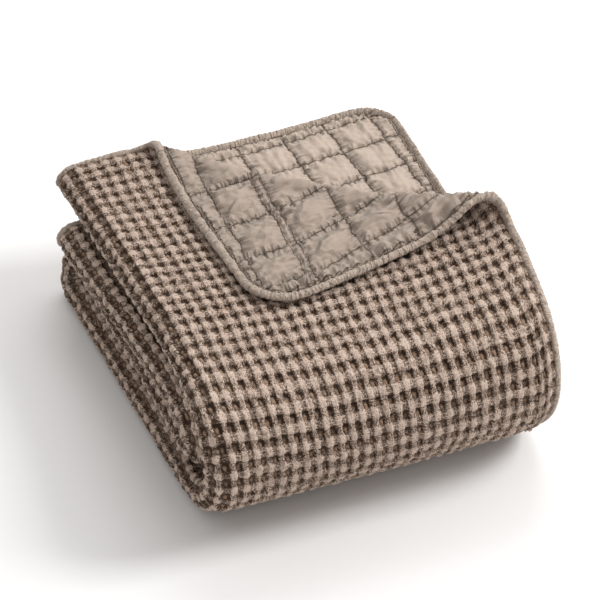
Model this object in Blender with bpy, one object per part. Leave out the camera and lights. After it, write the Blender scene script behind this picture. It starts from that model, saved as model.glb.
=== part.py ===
"""Quilted cotton throw: a waffle weave face on a plain backing, bound all round its edge.

The throw lies folded to a quarter of its width and then to a quarter of its length, waffle
side out, with the back right corner of its top layer turned over to the front left.

A flat cloth point is (across, along, level). "across" runs over the cloth's width, from the
edge that ends as the second layer down. "along" runs over its length, from the edge that lies
on top at the back. "level" is the height over the middle of the cloth's own thickness, with
the waffle side up. fold() carries such a point to its place in the folded bundle. There +X
runs along the bundle's front to the right, +Y to the back and +Z up.
"""

import math

import bmesh
import bpy
import numpy as np

# Layers. Four of them, side by side, make a packet, and four packets make the bundle.
LAYER_PITCH = 0.0094
PACKET_PITCH = 4 * LAYER_PITCH

# Thickness of the cloth, as levels from its middle, inside the field and under the binding.
FIELD_HALF = 0.0042
EDGE_HALF = 0.0019
FIELD_SEAM = -0.0020
EDGE_SEAM = -0.0005
PIECE_GAP = 0.0003
RIM_GAP = 0.0004

# Binding: a folded strip round the cut edge. The field reaches its thickness at TAPER_END.
BINDING_WIDTH = 0.012
BINDING_THICKNESS = 0.0010
BINDING_ROUND = 0.0014
TAPER_END = 0.030

# Corners of the flat throw.
CORNER_RADIUS = 0.039
CORNER_STEPS = 4

# The bundle, before it settles: its width inside the side bends, its depth over all.
BUNDLE_WIDTH = 0.307
BUNDLE_DEPTH = 0.396

# First fold, across the width. Each row is a run of the cloth's section: its length, how far
# it turns, and the number of flat strips that it is divided into.
INNER_BEND = 0.5 * LAYER_PITCH
OUTER_BEND = 1.5 * LAYER_PITCH
SECOND_LAYER_SETBACK = 0.028
RIGHT_BEND_SETBACK = 0.011
LEFT_BEND = 0.005
SECOND_LAYER_EDGE = BUNDLE_WIDTH - SECOND_LAYER_SETBACK
RIGHT_BEND = SECOND_LAYER_EDGE - RIGHT_BEND_SETBACK
ACROSS_RUNS = (
    # length, turn, strips
    (SECOND_LAYER_EDGE - LEFT_BEND, 0.0, 5),
    (math.pi * INNER_BEND, math.pi, 4),
    (RIGHT_BEND - LEFT_BEND, 0.0, 3),
    (math.pi * INNER_BEND, -math.pi, 4),
    (RIGHT_BEND, 0.0, 3),
    (math.pi * OUTER_BEND, -math.pi, 6),
    (BUNDLE_WIDTH, 0.0, 6),
)
ACROSS_START = (SECOND_LAYER_EDGE, INNER_BEND)

# Second fold, along the length, of the packet that the first fold makes.
FRONT_BEND = 2 * PACKET_PITCH
INNER_BEND_SETBACK = 0.013
SECOND_PACKET_SETBACK = 0.044
BACK_BEND_SETBACK = 0.012 + PACKET_PITCH
FRONT_INNER_BEND = FRONT_BEND + INNER_BEND_SETBACK
SECOND_PACKET_EDGE = BUNDLE_DEPTH - SECOND_PACKET_SETBACK
BACK_BEND = BUNDLE_DEPTH - BACK_BEND_SETBACK
TOP_RUN = BUNDLE_DEPTH - FRONT_BEND
ALONG_RUNS = (
    # length, turn, strips
    (TOP_RUN, 0.0, 7),
    (math.pi * 1.5 * PACKET_PITCH, math.pi, 8),
    (BACK_BEND - FRONT_BEND, 0.0, 3),
    (math.pi * 0.5 * PACKET_PITCH, math.pi, 4),
    (BACK_BEND - FRONT_INNER_BEND, 0.0, 3),
    (math.pi * 0.5 * PACKET_PITCH, -math.pi, 4),
    (SECOND_PACKET_EDGE - FRONT_INNER_BEND, 0.0, 4),
)
ALONG_START = (BUNDLE_DEPTH, 3.5 * PACKET_PITCH)

CLOTH_WIDTH = sum(run[0] for run in ACROSS_RUNS)
CLOTH_LENGTH = sum(run[0] for run in ALONG_RUNS)
TOP_LAYER_START = CLOTH_WIDTH - ACROSS_RUNS[-1][0]
TOP_LAYER_HEIGHT = ALONG_START[1] + OUTER_BEND

# Turned corner. The crease runs from the back edge to the right edge of the top layer. The
# curl's radius changes along it, and past the curl the cloth sinks back onto the layer.
CREASE_BACK = (0.040, BUNDLE_DEPTH)
CREASE_RIGHT = (BUNDLE_WIDTH, 0.1385)
CURL_PLACES = (0.0, 0.25, 0.60, 0.85, 1.0)
CURL_RADII = (0.0082, 0.0062, 0.0068, 0.0130, 0.0175)
SINK_RADIUS = 0.050
TURNED_HEIGHT = 1.02 * LAYER_PITCH

# The curl is scored along its rulings, from the crease to this far past it at either end.
CURL_SCORES = 14
CURL_REACH_BACK = 0.036
CURL_REACH_RIGHT = 0.080

# The turned corner lies a little off the mirror image of its place, and the crease's back end
# stands up in a peak. Its reach is to the left, to the right and to the front.
CORNER_SLIDE = (0.001, -0.015)
CORNER_REACH = 0.190
PEAK_LIFT = 0.0075
PEAK_REACH_LEFT = 0.052
PEAK_REACH_RIGHT = 0.100
PEAK_REACH_FRONT = 0.110

# The top layer reaches past the ones under it, and droops there.
DROOP_START = SECOND_LAYER_EDGE + 0.004
DROOP_FALL = 0.0055
DROOP_FADE = 0.055

# How the soft bundle settles out of square. Each shift is what a point moves at the far end of
# the bundle's width, depth or height, and each swell is a share of the height.
BUNDLE_HEIGHT = 4 * PACKET_PITCH
TOP_LEAN = 0.0230
BACK_SKEW = -0.0260
BACK_TWIST = 0.0345
BACK_SPREAD = 0.0104
FRONT_LEAN = -0.0155
FRONT_SLUMP = -0.0435
FRONT_SLUMP_LEVEL = 0.4
FRONT_REACH = 0.15
RIGHT_SLANT = -0.0300
RIGHT_DRAW = -0.0590
RIGHT_SWELL = 0.195
BACK_SWELL = -0.072
CORNER_SWELL = 0.308
SIDE_SWELL = 0.075
LOWER_SLIPS = (
    # upper height, lower height, how far the packets below slip left at the back left corner
    (0.80, 0.70, 0.0090),
    (0.55, 0.45, -0.0250),
)

# Middle of the settled bundle's footprint, which becomes the origin, and the height of its base.
FOOTPRINT_MIDDLE = (0.1571, 0.2118)
REST_HEIGHT = INNER_BEND - FIELD_HALF

# Flat places closer than this are one place.
SAME_PLACE = 1e-5


def clear_scene():
    """Start from an empty scene."""
    for item in list(bpy.data.objects):
        bpy.data.objects.remove(item, do_unlink=True)


def make_material(name, colour, roughness):
    """A plain cotton surface."""
    material = bpy.data.materials.new(name)
    material.use_nodes = True
    surface = material.node_tree.nodes["Principled BSDF"]
    surface.inputs["Base Color"].default_value = (*colour, 1.0)
    surface.inputs["Roughness"].default_value = roughness
    surface.inputs["Metallic"].default_value = 0.0
    return material


def trace(runs, start, heading, distance):
    """Places and headings at the given distances along a line of straight and round runs."""
    place = np.zeros((len(distance), 2))
    angle = np.zeros(len(distance))
    corner = np.array(start)
    passed = 0.0
    for number, (length, turn, _) in enumerate(runs):
        here = distance >= passed if number else np.ones(len(distance), bool)
        step = distance[here] - passed
        bend = turn / length
        angle[here] = heading + bend * step
        if turn:
            sideways = (np.sin(angle[here]) - math.sin(heading)) / bend
            upward = (math.cos(heading) - np.cos(angle[here])) / bend
        else:
            sideways = step * math.cos(heading)
            upward = step * math.sin(heading)
        place[here] = corner + np.stack((sideways, upward), 1)
        if turn:
            corner = corner + np.array((-2 * math.sin(heading) / bend, 2 * math.cos(heading) / bend))
        else:
            corner = corner + length * np.array((math.cos(heading), math.sin(heading)))
        heading += turn
        passed += length
    return place, angle


def ease(value, start, end):
    """Smooth step from 0 at the start to 1 at the end."""
    share = np.clip((value - start) / (end - start), 0, 1)
    return share * share * (3 - 2 * share)


def crease_frame():
    """Start, direction, length and corner side of the turned corner's crease."""
    start = np.array(CREASE_BACK)
    reach = np.array(CREASE_RIGHT) - start
    length = np.hypot(*reach)
    direction = reach / length
    corner_side = np.array((-direction[1], direction[0]))
    return start, direction, length, corner_side


def turn_corner(points, level, droop):
    """Turn the top layer's cloth past the crease over a curl and down onto the layer."""
    start, direction, length, corner_side = crease_frame()
    offset = points[:, :2] - start
    down_crease = offset @ direction
    past_crease = offset @ corner_side
    radius = np.interp(down_crease / length, CURL_PLACES, CURL_RADII)
    sink = np.arccos(np.clip((TURNED_HEIGHT + SINK_RADIUS - radius) / (radius + SINK_RADIUS), -1, 1))
    curl_end = radius * (math.pi + sink)
    sink_end = curl_end + SINK_RADIUS * sink

    curl_angle = np.clip(past_crease, 0, curl_end) / radius
    sink_angle = np.clip(past_crease - curl_end, 0, sink_end - curl_end) / SINK_RADIUS
    tilt = curl_angle - sink_angle
    reach = radius * np.sin(curl_angle) - SINK_RADIUS * (np.sin(tilt) - np.sin(curl_angle))
    rise = radius * (1 - np.cos(curl_angle)) + SINK_RADIUS * (np.cos(tilt) - np.cos(curl_angle))
    reach = reach + np.minimum(past_crease, 0) - np.maximum(past_crease - sink_end, 0)
    reach = reach - level * np.sin(tilt)
    rise = rise + level * np.cos(tilt)

    turned = np.empty_like(points)
    turned[:, :2] = start + np.outer(down_crease, direction) + np.outer(reach, corner_side)
    turned[:, :2] += np.outer(ease(past_crease, 0.0, CORNER_REACH), CORNER_SLIDE)
    turned[:, 2] = points[:, 2] + rise - droop * ease(past_crease, 0.0, -DROOP_FADE)
    beside, ahead = (turned[:, :2] - start).T
    sideways_reach = np.where(beside < 0, PEAK_REACH_LEFT, PEAK_REACH_RIGHT)
    turned[:, 2] += PEAK_LIFT * ease(np.hypot(beside / sideways_reach, ahead / PEAK_REACH_FRONT), 1.0, 0.0)
    return turned


def settle(points):
    """Lean, slump and swell of the soft bundle. The plane that it rests on stays flat."""
    side = points[:, 0] / BUNDLE_WIDTH - 0.5
    deep = points[:, 1] / BUNDLE_DEPTH - 0.5
    high = points[:, 2] / BUNDLE_HEIGHT
    front = ease(points[:, 1], FRONT_REACH, 0.0)
    settled = points.copy()
    settled[:, 0] += TOP_LEAN * high + BACK_SKEW * deep + BACK_TWIST * deep * high
    settled[:, 0] += FRONT_LEAN * high * front + BACK_SPREAD * side * deep
    for upper, lower, slip in LOWER_SLIPS:
        settled[:, 0] -= slip * ease(high, upper, lower) * (0.5 + deep) * (0.5 - side)
    settled[:, 1] += RIGHT_SLANT * side + RIGHT_DRAW * side * deep
    settled[:, 1] += FRONT_SLUMP * front * (high - FRONT_SLUMP_LEVEL)
    swell = RIGHT_SWELL * side + BACK_SWELL * deep + CORNER_SWELL * side * deep
    settled[:, 2] *= 1 + swell + SIDE_SWELL * (4 * side**2 - 0.5)
    return settled


def fold(across, along, level):
    """Carry flat cloth points to their places in the folded bundle."""
    section, section_angle = trace(ACROSS_RUNS, ACROSS_START, math.pi, across)
    droop = DROOP_FALL * np.maximum(across - TOP_LAYER_START - DROOP_START, 0) ** 2
    droop = droop / (BUNDLE_WIDTH - DROOP_START) ** 2
    depth = section[:, 1] + level * np.cos(section_angle) - droop
    route, route_angle = trace(ALONG_RUNS, ALONG_START, math.pi, along)
    points = np.stack((
        section[:, 0] - level * np.sin(section_angle),
        route[:, 0] + depth * np.sin(route_angle),
        route[:, 1] - depth * np.cos(route_angle),
    ), 1)
    top = (across > TOP_LAYER_START) & (along < TOP_RUN)
    flat_top = np.stack((section[top, 0], route[top, 0], np.full(top.sum(), TOP_LAYER_HEIGHT)), 1)
    points[top] = turn_corner(flat_top, level[top], droop[top])
    return settle(points - np.array((0.0, 0.0, REST_HEIGHT))) - np.array((*FOOTPRINT_MIDDLE, 0.0))


def inset_and_outward(across, along):
    """Distance in from the cut edge, and the direction out to it."""
    half = np.array((CLOTH_WIDTH, CLOTH_LENGTH)) / 2
    place = np.stack((across, along), 1) - half
    side = np.sign(place)
    past = np.abs(place) - (half - CORNER_RADIUS)
    corner = (past > 0).all(1)
    radial = np.maximum(past, 0)
    reach = np.where(corner, np.hypot(*radial.T), past.max(1))
    straight = np.stack((past[:, 0] >= past[:, 1], past[:, 0] < past[:, 1]), 1).astype(float)
    rounded = radial / np.maximum(np.hypot(*radial.T), 1e-9)[:, None]
    outward = np.where(corner[:, None], rounded, straight) * side
    return CORNER_RADIUS - reach, outward


def outline(inset):
    """Round-cornered outline of the flat cloth, inset from its cut edge."""
    radius = CORNER_RADIUS - inset
    low, wide, long = CORNER_RADIUS, CLOTH_WIDTH - CORNER_RADIUS, CLOTH_LENGTH - CORNER_RADIUS
    centres = ((wide, long), (low, long), (low, low), (wide, low))
    points = []
    for corner, (across, along) in enumerate(centres):
        for step in range(CORNER_STEPS + 1):
            angle = (corner + step / CORNER_STEPS) * math.pi / 2
            points.append((across + radius * math.cos(angle), along + radius * math.sin(angle), 0.0))
    return points


def score_places(runs):
    """Where the cloth is scored: at each end of a run, and evenly between."""
    places = []
    passed = 0.0
    for length, _, strips in runs:
        places += [passed + length * strip / strips for strip in range(strips)]
        passed += length
    return places[1:]


def score(cloth, faces, place, normal):
    """Score the given faces along a straight line."""
    edges = {edge for face in faces for edge in face.edges}
    verts = {vert for face in faces for vert in face.verts}
    bmesh.ops.bisect_plane(
        cloth, geom=[*verts, *edges, *faces], dist=SAME_PLACE / 10,
        plane_co=(*place, 0.0), plane_no=(*normal, 0.0),
    )


def flat_cloth():
    """The flat throw, ringed at its binding and scored along every bend."""
    cloth = bmesh.new()
    rings = [[cloth.verts.new(point) for point in outline(inset)] for inset in (0, BINDING_WIDTH, TAPER_END)]
    count = len(rings[0])
    for outer, inner in zip(rings, rings[1:]):
        for here in range(count):
            after = (here + 1) % count
            cloth.faces.new((outer[here], outer[after], inner[after], inner[here]))
    cloth.faces.new(rings[-1])
    for across in score_places(ACROSS_RUNS):
        score(cloth, cloth.faces[:], (across, 0.0), (1.0, 0.0))
    for along in score_places(ALONG_RUNS):
        score(cloth, cloth.faces[:], (0.0, along), (0.0, 1.0))
    start, direction, length, corner_side = crease_frame()
    for number in range(CURL_SCORES):
        top = [
            face for face in cloth.faces
            if face.calc_center_median().x > TOP_LAYER_START and face.calc_center_median().y < TOP_RUN
        ]
        share = number / (CURL_SCORES - 1)
        place = start + share * CURL_REACH_BACK * corner_side
        ruling = length * direction + share * (CURL_REACH_RIGHT - CURL_REACH_BACK) * corner_side
        flat_place = (TOP_LAYER_START + place[0], BUNDLE_DEPTH - place[1])
        score(cloth, top, flat_place, (-ruling[1], -ruling[0]))
    bmesh.ops.triangulate(cloth, faces=cloth.faces[:])
    cloth.verts.index_update()
    return cloth


def finish_body(name, body, material):
    """Make one closed object from a folded body."""
    bmesh.ops.recalc_face_normals(body, faces=body.faces[:])
    mesh = bpy.data.meshes.new(name)
    body.to_mesh(mesh)
    body.free()
    mesh.materials.append(material)
    mesh.shade_smooth()
    mesh.set_sharp_from_angle(angle=math.radians(50))
    item = bpy.data.objects.new(name, mesh)
    bpy.context.scene.collection.objects.link(item)
    return item


def add_skin(body, faces, across, along, levels, outward=None):
    """Add one folded copy of the given flat faces, and return its points by flat index."""
    indices = sorted({vert.index for face in faces for vert in face.verts})
    spots = np.array(indices)
    shift = np.zeros((len(spots), 2)) if outward is None else outward[spots]
    folded = fold(across[spots] + shift[:, 0], along[spots] + shift[:, 1], levels[spots])
    verts = {index: body.verts.new(point) for index, point in zip(indices, folded)}
    for face in faces:
        body.faces.new([verts[vert.index] for vert in face.verts])
    return verts


def wall(body, edges, near, far):
    """Join two skins along the given flat edges."""
    for edge in edges:
        first, second = (vert.index for vert in edge.verts)
        body.faces.new((near[first], near[second], far[second]))
        body.faces.new((near[first], far[second], far[first]))


def build_panel(name, cloth, low, high, material):
    """A panel of the throw between two levels, each given at the binding and in the field."""
    across, along = np.array([vert.co[:2] for vert in cloth.verts]).T
    inset, _ = inset_and_outward(across, along)
    share = np.clip((inset - BINDING_WIDTH) / (TAPER_END - BINDING_WIDTH), 0, 1)
    body = bmesh.new()
    under = add_skin(body, cloth.faces[:], across, along, low[0] + (low[1] - low[0]) * share)
    over = add_skin(body, cloth.faces[:], across, along, high[0] + (high[1] - high[0]) * share)
    wall(body, [edge for edge in cloth.edges if edge.is_boundary], under, over)
    return finish_body(name, body, material)


def build_binding(name, cloth, material):
    """The strip that wraps the cut edge of both panels."""
    across, along = np.array([vert.co[:2] for vert in cloth.verts]).T
    inset, outward = inset_and_outward(across, along)
    at_edge = inset < SAME_PLACE
    under_binding = inset < BINDING_WIDTH + SAME_PLACE
    strip = [face for face in cloth.faces if all(under_binding[vert.index] for vert in face.verts)]
    members = set(strip)
    inner = EDGE_HALF + PIECE_GAP
    outer = inner + BINDING_THICKNESS
    clear = np.where(at_edge[:, None], outward * RIM_GAP, 0.0)
    full = np.where(at_edge[:, None], outward * (RIM_GAP + BINDING_THICKNESS), 0.0)
    body = bmesh.new()
    flat = np.ones(len(across))
    top_out = add_skin(body, strip, across, along, outer * flat)
    top_in = add_skin(body, strip, across, along, inner * flat, clear)
    low_in = add_skin(body, strip, across, along, -inner * flat, clear)
    low_out = add_skin(body, strip, across, along, -outer * flat)
    cut_edge = [edge for edge in cloth.edges if edge.is_boundary]
    inner_edge = [edge for edge in cloth.edges if sum(face in members for face in edge.link_faces) == 1]
    inner_edge = [edge for edge in inner_edge if not edge.is_boundary]
    wall(body, inner_edge, top_out, top_in)
    wall(body, inner_edge, low_out, low_in)
    wall(body, cut_edge, low_in, top_in)
    edge_spots = np.array(sorted({vert.index for edge in cut_edge for vert in edge.verts}))
    round_level = np.full(len(edge_spots), outer - BINDING_ROUND)
    shifted = np.stack((across, along), 1)[edge_spots] + full[edge_spots]
    upper = fold(shifted[:, 0], shifted[:, 1], round_level)
    lower = fold(shifted[:, 0], shifted[:, 1], -round_level)
    upper = {spot: body.verts.new(point) for spot, point in zip(edge_spots, upper)}
    lower = {spot: body.verts.new(point) for spot, point in zip(edge_spots, lower)}
    wall(body, cut_edge, top_out, upper)
    wall(body, cut_edge, upper, lower)
    wall(body, cut_edge, lower, low_out)
    return finish_body(name, body, material)


def main():
    """Build the waffle face, the plain backing and the binding."""
    clear_scene()
    cloth = flat_cloth()
    half_gap = PIECE_GAP / 2
    build_panel(
        "waffle_face", cloth,
        (EDGE_SEAM + half_gap, FIELD_SEAM + half_gap), (EDGE_HALF, FIELD_HALF),
        make_material("waffle_cotton", (0.30, 0.225, 0.165), 0.95),
    )
    build_panel(
        "plain_backing", cloth,
        (-EDGE_HALF, -FIELD_HALF), (EDGE_SEAM - half_gap, FIELD_SEAM - half_gap),
        make_material("plain_cotton", (0.38, 0.31, 0.245), 0.9),
    )
    build_binding("binding", cloth, make_material("binding_cotton", (0.36, 0.29, 0.225), 0.9))
    cloth.free()


main()
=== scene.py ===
"""Looks of a folded cotton throw: waffle weave face, quilted plain backing, gathered binding.

Each cloth is cut flat and carried to its folded place by fold(). A flat cloth point is (across,
along, level): "across" runs over the width from the second layer's free edge, "along" over the
length from the top packet's back edge, and "level" is the height over the cloth's middle, with
the waffle side up. All sizes are in metres.
"""

import math

import bpy
import numpy as np
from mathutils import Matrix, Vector


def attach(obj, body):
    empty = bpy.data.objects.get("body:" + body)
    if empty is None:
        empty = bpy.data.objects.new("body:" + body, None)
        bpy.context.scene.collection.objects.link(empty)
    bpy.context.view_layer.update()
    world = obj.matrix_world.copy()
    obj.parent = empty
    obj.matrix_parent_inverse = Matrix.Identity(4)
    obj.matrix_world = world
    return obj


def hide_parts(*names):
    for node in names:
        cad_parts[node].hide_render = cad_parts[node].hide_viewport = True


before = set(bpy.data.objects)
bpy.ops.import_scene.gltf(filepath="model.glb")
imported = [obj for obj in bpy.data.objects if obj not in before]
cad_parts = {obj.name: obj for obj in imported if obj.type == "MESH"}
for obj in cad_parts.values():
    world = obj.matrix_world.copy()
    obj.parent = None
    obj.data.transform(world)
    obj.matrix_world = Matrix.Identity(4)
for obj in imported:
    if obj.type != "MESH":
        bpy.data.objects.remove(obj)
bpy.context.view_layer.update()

bl_info = {
    "name": "Folded Waffle Throw",
    "version": (1, 0, 0),
    "blender": (4, 5, 0),
    "location": "View3D > Sidebar > Throw",
    "description": "Dresses a folded cotton throw with its waffle weave, quilting, binding and stitches",
    "category": "Object",
}

# Layers and the cloth's thickness, as levels from its middle.
LAYER_PITCH = 0.0094
PACKET_PITCH = 4 * LAYER_PITCH
FIELD_HALF = 0.0042
EDGE_HALF = 0.0019
FIELD_SEAM = -0.0020
EDGE_SEAM = -0.0005
PIECE_GAP = 0.0003
BINDING_WIDTH = 0.012
TAPER_END = 0.030
CORNER_RADIUS = 0.039

# The bundle before it settles.
BUNDLE_WIDTH = 0.307
BUNDLE_DEPTH = 0.396
BUNDLE_HEIGHT = 4 * PACKET_PITCH

# First fold, across the width. Each row is a run of the section: its length and how far it turns.
INNER_BEND = 0.5 * LAYER_PITCH
OUTER_BEND = 1.5 * LAYER_PITCH
SECOND_LAYER_EDGE = BUNDLE_WIDTH - 0.028
LEFT_BEND = 0.005
RIGHT_BEND = SECOND_LAYER_EDGE - 0.011
ACROSS_RUNS = (
    # length, turn
    (SECOND_LAYER_EDGE - LEFT_BEND, 0.0),
    (math.pi * INNER_BEND, math.pi),
    (RIGHT_BEND - LEFT_BEND, 0.0),
    (math.pi * INNER_BEND, -math.pi),
    (RIGHT_BEND, 0.0),
    (math.pi * OUTER_BEND, -math.pi),
    (BUNDLE_WIDTH, 0.0),
)
ACROSS_START = (SECOND_LAYER_EDGE, INNER_BEND)

# Second fold, along the length, of the packet that the first fold makes.
FRONT_BEND = 2 * PACKET_PITCH
FRONT_INNER_BEND = FRONT_BEND + 0.013
SECOND_PACKET_EDGE = BUNDLE_DEPTH - 0.044
BACK_BEND = BUNDLE_DEPTH - 0.012 - PACKET_PITCH
TOP_RUN = BUNDLE_DEPTH - FRONT_BEND
ALONG_RUNS = (
    # length, turn
    (TOP_RUN, 0.0),
    (math.pi * 1.5 * PACKET_PITCH, math.pi),
    (BACK_BEND - FRONT_BEND, 0.0),
    (math.pi * 0.5 * PACKET_PITCH, math.pi),
    (BACK_BEND - FRONT_INNER_BEND, 0.0),
    (math.pi * 0.5 * PACKET_PITCH, -math.pi),
    (SECOND_PACKET_EDGE - FRONT_INNER_BEND, 0.0),
)
ALONG_START = (BUNDLE_DEPTH, 3.5 * PACKET_PITCH)

CLOTH_WIDTH = sum(run[0] for run in ACROSS_RUNS)
CLOTH_LENGTH = sum(run[0] for run in ALONG_RUNS)
TOP_LAYER_START = CLOTH_WIDTH - ACROSS_RUNS[-1][0]
TOP_LAYER_HEIGHT = ALONG_START[1] + OUTER_BEND
OUTER_BEND_START = TOP_LAYER_START - ACROSS_RUNS[-2][0]
THIRD_LAYER_END = sum(run[0] for run in ACROSS_RUNS[:3])
FOURTH_LAYER_START = sum(run[0] for run in ACROSS_RUNS[:4])
FRONT_BEND_END = TOP_RUN + ALONG_RUNS[1][0]
FLOOR_START = FRONT_BEND_END - 0.04

# The cut edge: its two lengths of side, with a rounded corner after each, and the way round it.
RIM_CORNER = (math.pi / 2 * CORNER_RADIUS, math.pi / 2)
RIM_RUNS = (
    # length, turn
    (CLOTH_LENGTH - 2 * CORNER_RADIUS, 0.0), RIM_CORNER,
    (CLOTH_WIDTH - 2 * CORNER_RADIUS, 0.0), RIM_CORNER,
) * 2
RIM_START = (CLOTH_WIDTH, CORNER_RADIUS)
PERIMETER = sum(run[0] for run in RIM_RUNS)

# Turned corner.
CREASE_BACK = (0.040, BUNDLE_DEPTH)
CREASE_RIGHT = (BUNDLE_WIDTH, 0.1385)
CURL_PLACES = (0.0, 0.25, 0.60, 0.85, 1.0)
CURL_RADII = (0.0082, 0.0062, 0.0068, 0.0130, 0.0175)
SINK_RADIUS = 0.050
TURNED_HEIGHT = 1.02 * LAYER_PITCH
CORNER_SLIDE = (0.001, -0.015)
CORNER_REACH = 0.190
PEAK_LIFT = 0.0075
PEAK_REACH_LEFT = 0.052
PEAK_REACH_RIGHT = 0.100
PEAK_REACH_FRONT = 0.110
DROOP_START = SECOND_LAYER_EDGE + 0.004
DROOP_FALL = 0.0055
DROOP_FADE = 0.055

# How the soft bundle settles out of square.
TOP_LEAN = 0.0230
BACK_SKEW = -0.0260
BACK_TWIST = 0.0345
BACK_SPREAD = 0.0104
FRONT_LEAN = -0.0155
FRONT_SLUMP = -0.0435
FRONT_SLUMP_LEVEL = 0.4
FRONT_REACH = 0.15
RIGHT_SLANT = -0.0300
RIGHT_DRAW = -0.0590
RIGHT_SWELL = 0.195
BACK_SWELL = -0.072
CORNER_SWELL = 0.308
SIDE_SWELL = 0.075
LOWER_SLIPS = (
    # upper height, lower height, how far the packets below slip left at the back left corner
    (0.80, 0.70, 0.0090),
    (0.55, 0.45, -0.0250),
)
FOOTPRINT_MIDDLE = (0.1571, 0.2118)
REST_HEIGHT = INNER_BEND - FIELD_HALF

# Waffle cells: size, and the place of one hollow's middle. The rows lean a little off square.
CELL_ACROSS = 0.01101
CELL_ALONG = 0.01430
HOLLOW_ACROSS = TOP_LAYER_START + 0.0019
HOLLOW_ALONG = 0.0060
CELL_SEED = 11
ROW_SLANT = 0.034
ROW_SLANT_MIDDLE = 0.985
FRONT_DRIFT = 0.0058

# How far in the face and the backing rise from the binding to their full thickness.
FACE_BINDING = 0.0082
FACE_RISE = 0.008
FACE_DEPTH = 0.0050
BACKING_BINDING = 0.0076
BACKING_RISE = 0.010
BACKING_DEPTH = 0.0031
BINDING_TOP = FIELD_HALF - 0.0002

# Places across where the plain backing changes: the second layer's end, where the top layer's own
# hand of stitching starts, and the span over which the turned corner grows slack.
SECOND_LAYER_END = 0.30
TOP_HAND_START = 0.6
TURNED_SPAN = (0.80, 0.86)

# Stitches: one with its gap, in the quilting and beside the binding, and how far past the binding
# its two rows are.
QUILTING_PITCH = 0.0046
RIM_PITCH = 0.0034
RIM_ROWS = (0.0003, 0.0024)
STITCH_LIFT = 0.0001

# Where stitches show: the quilting's spans across and along, on the turned corner and on the second
# layer, and spans round the cut edge from the top layer's corner, two on each of those layers.
TOP_QUILTING = ((TOP_LAYER_START + 0.01, CLOTH_WIDTH - 0.011), (0.013, 0.27))
SECOND_QUILTING = ((0.013, SECOND_LAYER_EDGE - 0.01), (0.013, 0.20))
RIM_SPANS = (
    (0.002, 0.26),
    (PERIMETER - 0.32, PERIMETER - 0.002),
    (PERIMETER - 1.165, PERIMETER - 0.92),
    (PERIMETER - 1.40, PERIMETER - 1.175),
)

# Quilting lines, which the hand sewed layer by layer: across the width, then along the length.
SECOND_LAYER_LINES = (
    (0.0215, 0.0600, 0.1000, 0.1405, 0.1810, 0.2220, 0.2630),
    (0.0180, 0.0570, 0.1025, 0.1490, 0.1960, 0.2420, 0.2880, 0.3300),
)
TOP_LAYER_LINES = (
    (0.8725, 0.9115, 0.9600, 1.0210, 1.0745, 1.1215, 1.1645),
    (0.0190, 0.0595, 0.0665, 0.1140, 0.1560, 0.2040, 0.2520, 0.3045, 0.3470, 0.3930),
)
OTHER_LINES = (
    tuple(0.31 + 0.0455 * number for number in range(13)),
    tuple(0.019 + 0.0460 * number for number in range(31)),
)

# Camera, in the unsettled bundle's place: what it looks at, from where, and how it is framed.
CAMERA_AZIMUTH = -22.0
CAMERA_ELEVATION = 39.0
CAMERA_DISTANCE = 2.8
CAMERA_TARGET = (0.16, 0.20, 0.07)
CAMERA_LENS = 188.8
CAMERA_SENSOR = 36.0
CAMERA_SHIFT = (-0.0142, 0.0247)

# Studio: each soft light's place, size and watts, and the even light from all round.
SOFT_LIGHTS = (
    ((1.70, -0.66, 1.85), 0.9, 48.0),
    ((0.75, 1.40, 2.10), 1.6, 28.0),
)
ROOM_COLOUR = (1.0, 0.982, 0.966, 1.0)
ROOM_STRENGTH = 0.645
FLOOR_DUST = (0.80, 0.80, 0.80)


# ---------------------------------------------------------------- the fold

def trace(runs, start, heading, distance):
    """Places and headings at the given distances along a line of straight and round runs."""
    place = np.zeros((len(distance), 2))
    angle = np.zeros(len(distance))
    corner = np.array(start)
    passed = 0.0
    for number, (length, turn) in enumerate(runs):
        here = distance >= passed if number else np.ones(len(distance), bool)
        step = np.append(distance[here] - passed, length)  # last, the run's own end
        bend = turn / length
        facing = heading + bend * step
        if turn:
            sideways = (np.sin(facing) - math.sin(heading)) / bend
            upward = (math.cos(heading) - np.cos(facing)) / bend
        else:
            sideways = step * math.cos(heading)
            upward = step * math.sin(heading)
        reached = corner + np.stack((sideways, upward), 1)
        place[here], angle[here] = reached[:-1], facing[:-1]
        corner = reached[-1]
        heading += turn
        passed += length
    return place, angle


def ease(value, start, end):
    """Smooth step from 0 at the start to 1 at the end."""
    share = np.clip((value - start) / (end - start), 0, 1)
    return share * share * (3 - 2 * share)


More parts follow.
